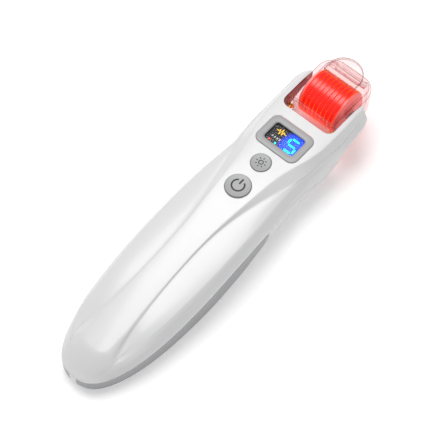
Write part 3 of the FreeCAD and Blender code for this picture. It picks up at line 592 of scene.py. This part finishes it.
# ---------------------------------------------------------------------------
# Display.  A smoked window over a black module whose marks light up: a large
# cyan numeral in a blue glow, a yellow pulse, level bars and two pilot dots.

def lit(name, colour, strength):
    """A mark that glows."""
    finish = moulded(name, tuple(c * 0.3 for c in colour), 0.5, mottle=0.1)
    shader = finish.node_tree.nodes["Principled BSDF"]
    shader.inputs["Emission Color"].default_value = (*colour, 1)
    shader.inputs["Emission Strength"].default_value = strength
    return finish


def glow_panel(name, centre, reach, colour, strength):
    """A black panel with a soft round glow about one place."""
    finish = moulded(name, (0.012, 0.012, 0.014), 0.5, mottle=0.0)
    nodes, wires = finish.node_tree.nodes, finish.node_tree.links
    shader = nodes["Principled BSDF"]
    where = nodes.new("ShaderNodeTexCoord")
    fit = nodes.new("ShaderNodeMapping")
    fit.inputs["Location"].default_value = [-c / r for c, r in zip(centre, reach)] + [0]
    fit.inputs["Scale"].default_value = (1 / reach[0], 1 / reach[1], 0)
    ball = nodes.new("ShaderNodeTexGradient")
    ball.gradient_type = "SPHERICAL"
    ramp = nodes.new("ShaderNodeValToRGB")
    ramp.color_ramp.elements[0].color = (0, 0, 0, 1)
    ramp.color_ramp.elements[1].position = 0.55
    ramp.color_ramp.elements[1].color = (*colour, 1)
    wires.new(where.outputs["Object"], fit.inputs[0])
    wires.new(fit.outputs[0], ball.inputs[0])
    wires.new(ball.outputs["Fac"], ramp.inputs[0])
    wires.new(ramp.outputs[0], shader.inputs["Emission Color"])
    shader.inputs["Emission Strength"].default_value = strength
    return finish


SEGMENTS = {"top": (0, 1, 0), "upper_left": (-1, 0.5, 90), "middle": (0, 0, 0),
            "lower_right": (1, -0.5, 90), "bottom": (0, -1, 0)}


def bar_outline(x, y, length, width, degrees, point=0.5):
    """A bar with mitred ends, as the strokes of a numeral have."""
    half, thick = length / 2, width / 2
    shape = [(half, 0), (half - thick * point * 2, thick), (-half + thick * point * 2, thick), (-half, 0),
             (-half + thick * point * 2, -thick), (half - thick * point * 2, -thick)]
    turn = math.radians(degrees)
    return [(x + px * math.cos(turn) - py * math.sin(turn), y + px * math.sin(turn) + py * math.cos(turn))
            for px, py in shape]


def join(name, pieces_made):
    """One mesh from several pieces that lie in the same frame."""
    form = bmesh.new()
    finish = pieces_made[0].data.materials[0]
    for thing in pieces_made:
        form.from_mesh(thing.data)
        bpy.data.objects.remove(thing)
    mesh = bpy.data.meshes.new(name)
    form.to_mesh(mesh)
    form.free()
    mesh.materials.append(finish)
    return link(bpy.data.objects.new(name, mesh))


def make_display():
    module_top = box_mm("display_module")[1].z
    low, high = module_top + 0.06, module_top + 0.12
    glow_centre, glow_reach = (0.0042, (display_y - 0.4) * MM), (0.0062, 0.0078)
    blue = glow_panel("blue_backlight", glow_centre, glow_reach, (0.0, 0.06, 1.0), 2.6)
    panel_outline = rounded_outline(16.0, 10.1, 1.2, 0, display_y)
    panel = prism("display_panel", panel_outline, module_top + 0.01, low, blue)
    rest_on(panel, "handle", "module_black")
    cyan, yellow = lit("cyan_glow", (0.0, 0.80, 1.0), 2.0), lit("yellow_glow", (1.0, 0.62, 0.02), 1.5)
    red, pale = lit("red_glow", (1.0, 0.04, 0.03), 1.5), lit("pale_glow", (0.75, 0.75, 0.75), 0.8)
    centre_x, centre_y, wide, tall = 4.1, display_y - 0.45, 4.5, 6.4
    strokes = []
    for sx, sy, degrees in SEGMENTS.values():
        length = wide - 0.75 if degrees == 0 else tall / 2 - 0.35
        strokes.append(prism("stroke", bar_outline(centre_x + sx * wide / 2, centre_y + sy * tall / 2,
                                                   length, 0.95, degrees), low, high, cyan))
    rest_on(join("numeral", strokes), "handle", "module_black")
    beat = [(-2.5, 0), (-1.6, 0.1), (-1.2, 1.1), (-0.6, -1.3), (0.0, 1.9), (0.6, -1.1), (1.1, 0.8),
            (1.6, 0), (2.5, 0)]
    heart = []
    for (x0, y0), (x1, y1) in zip(beat, beat[1:]):
        length = math.hypot(x1 - x0, y1 - y0) + 0.3
        heart.append(prism("beat", bar_outline(-3.4 + (x0 + x1) / 2, display_y + 2.1 + (y0 + y1) / 2 * 0.8,
                                               length, 0.3, math.degrees(math.atan2(y1 - y0, x1 - x0))),
                           low, high, yellow))
    rest_on(join("pulse_mark", heart), "handle", "module_black")
    bars = [prism("bar", bar_outline(-5.4 + 1.25 * n, display_y - 1.35, 0.75 + 0.12 * n, 0.62, 90, 0.1),
                  low, high, pale)
            for n in range(4)]
    rest_on(join("level_bars", bars), "handle", "module_black")
    for name, x, y, finish in (("red_pilot", -5.4, -3.5, red), ("cyan_pilot", -2.2, -3.65, cyan)):
        dot = [(x + 0.5 * math.cos(a), display_y + y + 0.5 * math.sin(a))
               for a in np.linspace(0, 2 * math.pi, 20, False)]
        rest_on(prism(name, dot, low, high, finish), "handle", "module_black")


def make_window():
    """The window: a thin smoked pane, clear enough to show the marks."""
    pane_low, pane_high = box_mm("display_window")
    smoke = clear_plastic("smoked_pane", (0.05, 0.05, 0.06), 0.10, 0.35)
    levels = [(rounded_outline(16.8, 10.9, 1.6, 0, display_y), pane_low.z),
              (rounded_outline(16.8, 10.9, 1.6, 0, display_y), pane_low.z + 0.6),
              (rounded_outline(15.3, 9.4, 1.2, 0, display_y), pane_low.z + 0.7),
              (rounded_outline(15.3, 9.4, 1.2, 0, display_y), pane_high.z - 0.1),
              (rounded_outline(15.0, 9.1, 1.1, 0, display_y), pane_high.z)]
    rest_on(stack("display_pane", levels, smoke), "handle", "smoked_window", "display_window")


def clear_plastic(name, colour, face_alpha, edge_alpha, roughness=0.06, glow=None):
    """Clear plastic: thin to look through face on, denser where it turns away."""
    finish = moulded(name, colour, roughness, 0.03, 0.0, mottle=0.0)
    nodes, wires = finish.node_tree.nodes, finish.node_tree.links
    shader = nodes["Principled BSDF"]
    rim = nodes.new("ShaderNodeLayerWeight")
    rim.inputs["Blend"].default_value = 0.35
    span = nodes.new("ShaderNodeMapRange")
    span.inputs["To Min"].default_value = face_alpha
    span.inputs["To Max"].default_value = edge_alpha
    wires.new(rim.outputs["Facing"], span.inputs["Value"])
    wires.new(span.outputs["Result"], shader.inputs["Alpha"])
    if glow:
        shader.inputs["Emission Color"].default_value = (*glow[0], 1)
        shader.inputs["Emission Strength"].default_value = glow[1]
    return finish


make_display()
make_window()

# ---------------------------------------------------------------------------
# Push buttons.  Two satin grey caps with a rolled edge, kept in by a
# flange under the shell, each with its mark printed in dark grey.

def turned(name, profile, y, finish, steps=72, smooth=32.0):
    """A round piece about an upright axis; profile is (radius, height)."""
    rings = [[(r * math.cos(2 * math.pi * n / steps), y + r * math.sin(2 * math.pi * n / steps), z)
              for n in range(steps)] for r, z in profile]
    return loft(name, rings, finish, smooth)


def arc_outline(radius, width, start, end, x=0.0, y=0.0, steps=36):
    angles = np.radians(np.linspace(start, end, steps))
    far, near = radius + width / 2, radius - width / 2
    outside = [(x + far * math.cos(a), y + far * math.sin(a)) for a in angles]
    inside = [(x + near * math.cos(a), y + near * math.sin(a)) for a in angles]
    return outside + inside[::-1]


def make_button(node, body, grey):
    low, high = box_mm(node)
    middle = (low.y + high.y) / 2
    radius = (high.x - low.x) / 2 - 0.7
    flange = radius + 0.7
    top = high.z
    profile = [(1.5, low.z), (1.5, face - 3.1), (flange, face - 3.1), (flange, face - 2.4), (radius, face - 2.4),
               (radius, top - 0.42), (radius - 0.1, top - 0.16), (radius - 0.3, top - 0.03),
               (radius - 0.5, top), (radius - 0.75, top - 0.05), (radius - 1.0, top - 0.10),
               (radius * 0.4, top - 0.12), (0.02, top - 0.12)]
    cap = turned(node + "_cap", profile, middle, grey)
    rest_on(cap, body, "button_grey", node)
    return middle, top - 0.12


def make_marks(ink):
    middle, top = make_button("power_button", "power_button", satin_button)
    low, high = top - 0.05, top + 0.03
    ring = prism("ring", arc_outline(2.75, 0.75, 90 + 32, 450 - 32, 0, middle), low, high, ink)
    bar = prism("bar", bar_outline(0, middle + 2.2, 3.0, 0.75, 90, 0.2), low, high, ink)
    rest_on(join("power_mark", [ring, bar]), "power_button", "button_grey")
    middle, top = make_button("light_button", "light_button", satin_button)
    low, high = top - 0.05, top + 0.03
    marks = [prism("half", arc_outline(0.95, 0.42, start, start + 180, 0, middle), low, high, ink)
             for start in (0, 180)]
    for n in range(8):
        turn = math.radians(45 * n)
        marks.append(prism("ray", bar_outline(2.1 * math.cos(turn), middle + 2.1 * math.sin(turn),
                                              0.85, 0.44, 45 * n, 0.2), low, high, ink))
    rest_on(join("light_mark", marks), "light_button", "button_grey")


satin_button = moulded("satin_button", (0.42, 0.42, 0.425), 0.36, 0.06, 0.04, grain=6000)
make_marks(moulded("dark_ink", (0.045, 0.045, 0.05), 0.6))

# ---------------------------------------------------------------------------
# Roller cartridge.  One clear red moulding: a tub with side cheeks that hold
# the axle, a curved web over the roller and a round thumb tab.

def copy_node(name, node, finish, smooth=28.0):
    """A smooth-shaded stand-in for a CAD node of the right shape."""
    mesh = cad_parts[node].data.copy()
    mesh.name = name
    clean(mesh, smooth, flip=False)
    mesh.materials.clear()
    mesh.materials.append(finish)
    return link(bpy.data.objects.new(name, mesh))


clear_red = clear_plastic("clear_red", (1.0, 0.42, 0.41), 0.05, 0.42, 0.08)
tub = copy_node("clear_tub", "cartridge_frame", clear_red)
rest_on(tub, "cartridge", "clear_red", "cartridge_frame")


def edge_tree(finish):
    """Geometry Nodes: a fine dark line along every sharp edge, painted shade standing in for the darkening that
    clear plastic shows at its edges.
    """
    tree = bpy.data.node_groups.new("painted_edge_shade", "GeometryNodeTree")
    tree.interface.new_socket("Geometry", in_out="INPUT", socket_type="NodeSocketGeometry")
    width = tree.interface.new_socket("Width", in_out="INPUT", socket_type="NodeSocketFloat")
    width.default_value = 0.09 * MM
    tree.interface.new_socket("Geometry", in_out="OUTPUT", socket_type="NodeSocketGeometry")
    nodes, wires = tree.nodes, tree.links
    given, result = nodes.new("NodeGroupInput"), nodes.new("NodeGroupOutput")
    weld = nodes.new("GeometryNodeMergeByDistance")
    weld.inputs["Distance"].default_value = 0.01 * MM
    angle = nodes.new("GeometryNodeInputMeshEdgeAngle")
    sharp = nodes.new("FunctionNodeCompare")
    sharp.inputs[1].default_value = math.radians(35)
    lines = nodes.new("GeometryNodeMeshToCurve")
    circle = nodes.new("GeometryNodeCurvePrimitiveCircle")
    circle.inputs["Resolution"].default_value = 5
    tubes = nodes.new("GeometryNodeCurveToMesh")
    paint = nodes.new("GeometryNodeSetMaterial")
    paint.inputs["Material"].default_value = finish
    wires.new(given.outputs["Geometry"], weld.inputs["Geometry"])
    wires.new(weld.outputs[0], lines.inputs["Mesh"])
    wires.new(angle.outputs["Unsigned Angle"], sharp.inputs[0])
    wires.new(sharp.outputs[0], lines.inputs["Selection"])
    wires.new(given.outputs["Width"], circle.inputs["Radius"])
    wires.new(lines.outputs[0], tubes.inputs["Curve"])
    wires.new(circle.outputs[0], tubes.inputs["Profile Curve"])
    wires.new(tubes.outputs[0], paint.inputs["Geometry"])
    wires.new(paint.outputs[0], result.inputs[0])
    return tree


def make_edge_lines(finish):
    lines = copy_node("tub_edges", "cartridge_frame", finish)
    step = lines.modifiers.new("edges", "NODES")
    step.node_group = edge_tree(finish)
    graph = bpy.context.evaluated_depsgraph_get()
    mesh = bpy.data.meshes.new_from_object(lines.evaluated_get(graph))
    lines.modifiers.clear()
    lines.data = mesh
    return rest_on(lines, "cartridge", "clear_red")


# Dark red lines on the tub's sharp edges: painted shade for the darkening that clear plastic shows there.
make_edge_lines(moulded("edge_shade_red", (0.30, 0.012, 0.01), 0.3, mottle=0.0))

# ---------------------------------------------------------------------------
# Roller.  A red drum with a fin between every two needle discs; the needles are short orange points in rings,
# and a stepped cap closes each end.

drum_low, drum_high = box_mm("drum_core")
axis_y, axis_z = (drum_low.y + drum_high.y) / 2, (drum_low.z + drum_high.z) / 2
drum_radius = (drum_high.y - drum_low.y) / 2
disc_low, disc_high = box_mm("needle_discs")
disc_count = 9
pitch = (disc_high.x - disc_low.x - 0.25) / (disc_count - 1)
needle_tip = (disc_high.z - disc_low.z) / 2


def spun(name, profile, finish, steps=96, smooth=32.0):
    """A round piece about the roller's axis; profile is (x, radius)."""
    rings = [[(x, axis_y + r * math.cos(2 * math.pi * n / steps),
               axis_z + r * math.sin(2 * math.pi * n / steps))
              for n in range(steps)] for x, r in profile]
    return loft(name, rings, finish, smooth, closed=True)


def make_drum(finish):
    bore = 1.3
    half = drum_high.x
    profile = [(-half, bore), (-half, drum_radius - 0.25), (-half + 0.1, drum_radius)]
    for n in range(disc_count):
        x = (n - (disc_count - 1) / 2) * pitch
        profile += [(x - 0.42, drum_radius), (x - 0.30, drum_radius - 0.55),
                    (x + 0.30, drum_radius - 0.55), (x + 0.42, drum_radius)]
    profile += [(half - 0.1, drum_radius), (half, drum_radius - 0.25), (half, bore)]
    return rest_on(spun("roller_drum", profile, finish), "roller", "drum_plastic", "drum_core")


def make_cap(side, finish):
    """An end cap with fine turned rings in its face."""
    node = side + "_end_cap"
    low, high = box_mm(node)
    sign = -1 if side == "left" else 1
    inner, outer = (high.x, low.x) if sign < 0 else (low.x, high.x)
    profile = [(inner, 1.3), (inner, drum_radius - 0.05), (inner + sign * 0.5, drum_radius - 0.1),
               (outer - sign * 0.2, drum_radius - 1.1), (outer, drum_radius - 1.4)]
    for radius in (8.4, 6.8, 5.2, 3.6):
        profile += [(outer, radius), (outer - sign * 0.25, radius - 0.15),
                    (outer - sign * 0.25, radius - 0.45), (outer, radius - 0.6)]
    profile += [(outer, 1.3)]
    return rest_on(spun(side + "_cap", profile, finish), "roller", "cap_plastic", node)


def needle_tree(finish):
    """Geometry Nodes: points round a circle, repeated along the roller's axis."""
    tree = bpy.data.node_groups.new("needle_rings", "GeometryNodeTree")
    face_in = tree.interface.new_socket
    face_in("Geometry", in_out="INPUT", socket_type="NodeSocketGeometry")
    sizes = {"Needles": ("NodeSocketInt", 60), "Rings": ("NodeSocketInt", disc_count),
             "Pitch": ("NodeSocketFloat", pitch * MM),
             "Foot radius": ("NodeSocketFloat", (drum_radius - 0.6) * MM),
             "Length": ("NodeSocketFloat", (needle_tip - drum_radius + 0.6) * MM),
             "Thickness": ("NodeSocketFloat", 0.11 * MM), "Material": ("NodeSocketMaterial", finish)}
    for label, (kind, value) in sizes.items():
        socket = face_in(label, in_out="INPUT", socket_type=kind)
        socket.default_value = value
    tree.interface.new_socket("Geometry", in_out="OUTPUT", socket_type="NodeSocketGeometry")
    nodes, wires = tree.nodes, tree.links
    given, result = nodes.new("NodeGroupInput"), nodes.new("NodeGroupOutput")
    circle = nodes.new("GeometryNodeMeshCircle")
    cone = nodes.new("GeometryNodeMeshCone")
    cone.inputs["Vertices"].default_value = 6
    cone.inputs["Radius Top"].default_value = 0.02 * MM
    aim = nodes.new("FunctionNodeAlignRotationToVector")
    aim.axis = "Z"
    where = nodes.new("GeometryNodeInputPosition")
    ring = nodes.new("GeometryNodeInstanceOnPoints")
    line = nodes.new("GeometryNodeMeshLine")
    step = nodes.new("ShaderNodeCombineXYZ")
    start = nodes.new("ShaderNodeCombineXYZ")
    reach = nodes.new("ShaderNodeMath")
    reach.operation = "MULTIPLY"
    fewer = nodes.new("ShaderNodeMath")
    fewer.operation = "MULTIPLY_ADD"
    fewer.inputs[1].default_value = -0.5
    fewer.inputs[2].default_value = 0.5
    upright = nodes.new("GeometryNodeTransform")
    upright.inputs["Rotation"].default_value = (0, math.pi / 2, 0)
    rows = nodes.new("GeometryNodeInstanceOnPoints")
    real = nodes.new("GeometryNodeRealizeInstances")
    paint = nodes.new("GeometryNodeSetMaterial")
    lift = nodes.new("GeometryNodeTransform")
    lift.inputs["Translation"].default_value = (0, axis_y * MM, axis_z * MM)
    wires.new(given.outputs["Needles"], circle.inputs["Vertices"])
    wires.new(given.outputs["Foot radius"], circle.inputs["Radius"])
    wires.new(given.outputs["Length"], cone.inputs["Depth"])
    wires.new(given.outputs["Thickness"], cone.inputs["Radius Bottom"])
    wires.new(where.outputs[0], aim.inputs["Vector"])
    wires.new(circle.outputs[0], ring.inputs["Points"])
    wires.new(cone.outputs[0], ring.inputs["Instance"])
    wires.new(aim.outputs[0], ring.inputs["Rotation"])
    wires.new(ring.outputs[0], upright.inputs["Geometry"])
    wires.new(given.outputs["Rings"], line.inputs["Count"])
    wires.new(given.outputs["Pitch"], step.inputs["X"])
    wires.new(step.outputs[0], line.inputs["Offset"])
    wires.new(given.outputs["Rings"], fewer.inputs[0])
    wires.new(fewer.outputs[0], reach.inputs[0])
    wires.new(given.outputs["Pitch"], reach.inputs[1])
    wires.new(reach.outputs[0], start.inputs["X"])
    wires.new(start.outputs[0], line.inputs["Start Location"])
    wires.new(line.outputs[0], rows.inputs["Points"])
    wires.new(upright.outputs[0], rows.inputs["Instance"])
    wires.new(rows.outputs[0], lift.inputs["Geometry"])
    wires.new(lift.outputs[0], real.inputs[0])
    wires.new(real.outputs[0], paint.inputs["Geometry"])
    wires.new(given.outputs["Material"], paint.inputs["Material"])
    wires.new(paint.outputs[0], result.inputs[0])
    return tree


def make_needles(finish):
    holder = link(bpy.data.objects.new("needle_rings", bpy.data.meshes.new("needle_rings")))
    step = holder.modifiers.new("needles", "NODES")
    step.node_group = needle_tree(finish)
    graph = bpy.context.evaluated_depsgraph_get()
    mesh = bpy.data.meshes.new_from_object(holder.evaluated_get(graph))
    holder.modifiers.clear()
    holder.data = mesh
    return rest_on(holder, "roller", "needle_steel", "needle_discs")


# The drum and the end caps get an emission: a painted glow that stands in for the red lamps' light on and
# through them.
lit_red = moulded("lit_red", (0.92, 0.015, 0.012), 0.28, 0.06, 0.02, mottle=0.15,
                  emission_color=(1.0, 0.02, 0.015, 1), emission_strength=0.25)
cap_pink = moulded("cap_pink", (1.0, 0.20, 0.19), 0.25, 0.05, 0.02,
                   emission_color=(1.0, 0.10, 0.09, 1), emission_strength=0.15)
# The needles are coloured orange and given a painted orange glow that stands in for the red lamps' light on
# them.
needle_glow_orange = moulded("needles_painted_glow", (1.0, 0.50, 0.06), 0.3, 0.05, 0.0, metallic=0.6,
               emission_color=(1.0, 0.32, 0.02, 1), emission_strength=0.5)
make_drum(lit_red)
make_cap("left", cap_pink)
make_cap("right", cap_pink)
make_needles(needle_glow_orange)


def red_glow_light():
    """The lamps behind the pocket wall, as a faint red light in the pocket."""
    data = bpy.data.lights.new("pocket_glow", "POINT")
    data.energy, data.color, data.shadow_soft_size = 0.0006, (1.0, 0.05, 0.04), 3 * MM
    glow = link(bpy.data.objects.new("pocket_glow", data))
    glow.location = (0, (pocket + 2.6) * MM, (face - 2) * MM)


red_glow_light()

# ---------------------------------------------------------------------------
# Works inside the case.  These keep their CAD shapes and get real finishes:
# solder mask, foil, ferrite, plated steel, film and foam.

WORKS = {
    "main_board": moulded("solder_mask", (0.02, 0.16, 0.07), 0.35, 0.1, 0.1, mottle=0.4),
    "controller_chip": moulded("chip_resin", (0.02, 0.02, 0.022), 0.5, bump=0.1),
    "boost_inductor": moulded("ferrite", (0.09, 0.09, 0.10), 0.6, bump=0.2, mottle=0.3),
    "capacitors": moulded("capacitor_can", (0.75, 0.75, 0.78), 0.3, metallic=1.0),
    "lamps": moulded("lamp_resin", (1.0, 0.15, 0.10), 0.2, emission_color=(1.0, 0.05, 0.03, 1),
                     emission_strength=0.5),
    "lamp_window": clear_plastic("lamp_diffuser", (1.0, 0.5, 0.5), 0.45, 0.8, 0.4, ((1.0, 0.08, 0.06), 0.6)),
    "lamp_ribbon": moulded("film_orange", (0.62, 0.24, 0.04), 0.35, mottle=0.2),
    "battery_pad": moulded("pad_foam", (0.06, 0.06, 0.06), 0.9, bump=0.6, grain=1500, mottle=0.5),
    "battery": moulded("pouch_foil", (0.75, 0.76, 0.78), 0.35, 0.2, 0.3, grain=500, metallic=0.9),
    "charge_socket": moulded("plated_steel", (0.6, 0.6, 0.62), 0.3, metallic=1.0),
    "case_screws": moulded("zinc_steel", (0.5, 0.5, 0.52), 0.4, metallic=1.0),
    "screw_plugs": moulded("plug_rubber", (0.72, 0.72, 0.72), 0.7, bump=0.1),
    "contact_plates": moulded("gold_plate", (0.9, 0.62, 0.22), 0.25, metallic=1.0),
    "light_switch": moulded("switch_case", (0.03, 0.03, 0.03), 0.5, bump=0.1),
    "light_switch_plunger": moulded("plunger_resin", (0.7, 0.7, 0.68), 0.5),
    "light_return_sleeve": moulded("soft_silicone", (0.7, 0.7, 0.7), 0.6, bump=0.1),
    "display_module": moulded("module_black", (0.02, 0.02, 0.024), 0.45),
    "axle": moulded("ground_steel", (0.65, 0.65, 0.67), 0.25, metallic=1.0),
    "axle_washers": moulded("washer_resin", (0.8, 0.55, 0.55), 0.4),
}
ALIKE = {"charge_board": "main_board", "lamp_board": "main_board", "socket_tongue": "controller_chip",
         "contact_pins": "contact_plates", "power_switch": "light_switch",
         "power_switch_plunger": "light_switch_plunger", "power_return_sleeve": "light_return_sleeve"}


def paint_works():
    wanted = dict(WORKS)
    wanted.update({node: WORKS[same] for node, same in ALIKE.items()})
    for node, finish in wanted.items():
        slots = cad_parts[node].material_slots
        if not slots:
            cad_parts[node].data.materials.append(finish)
        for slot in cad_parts[node].material_slots:
            slot.material = finish


paint_works()
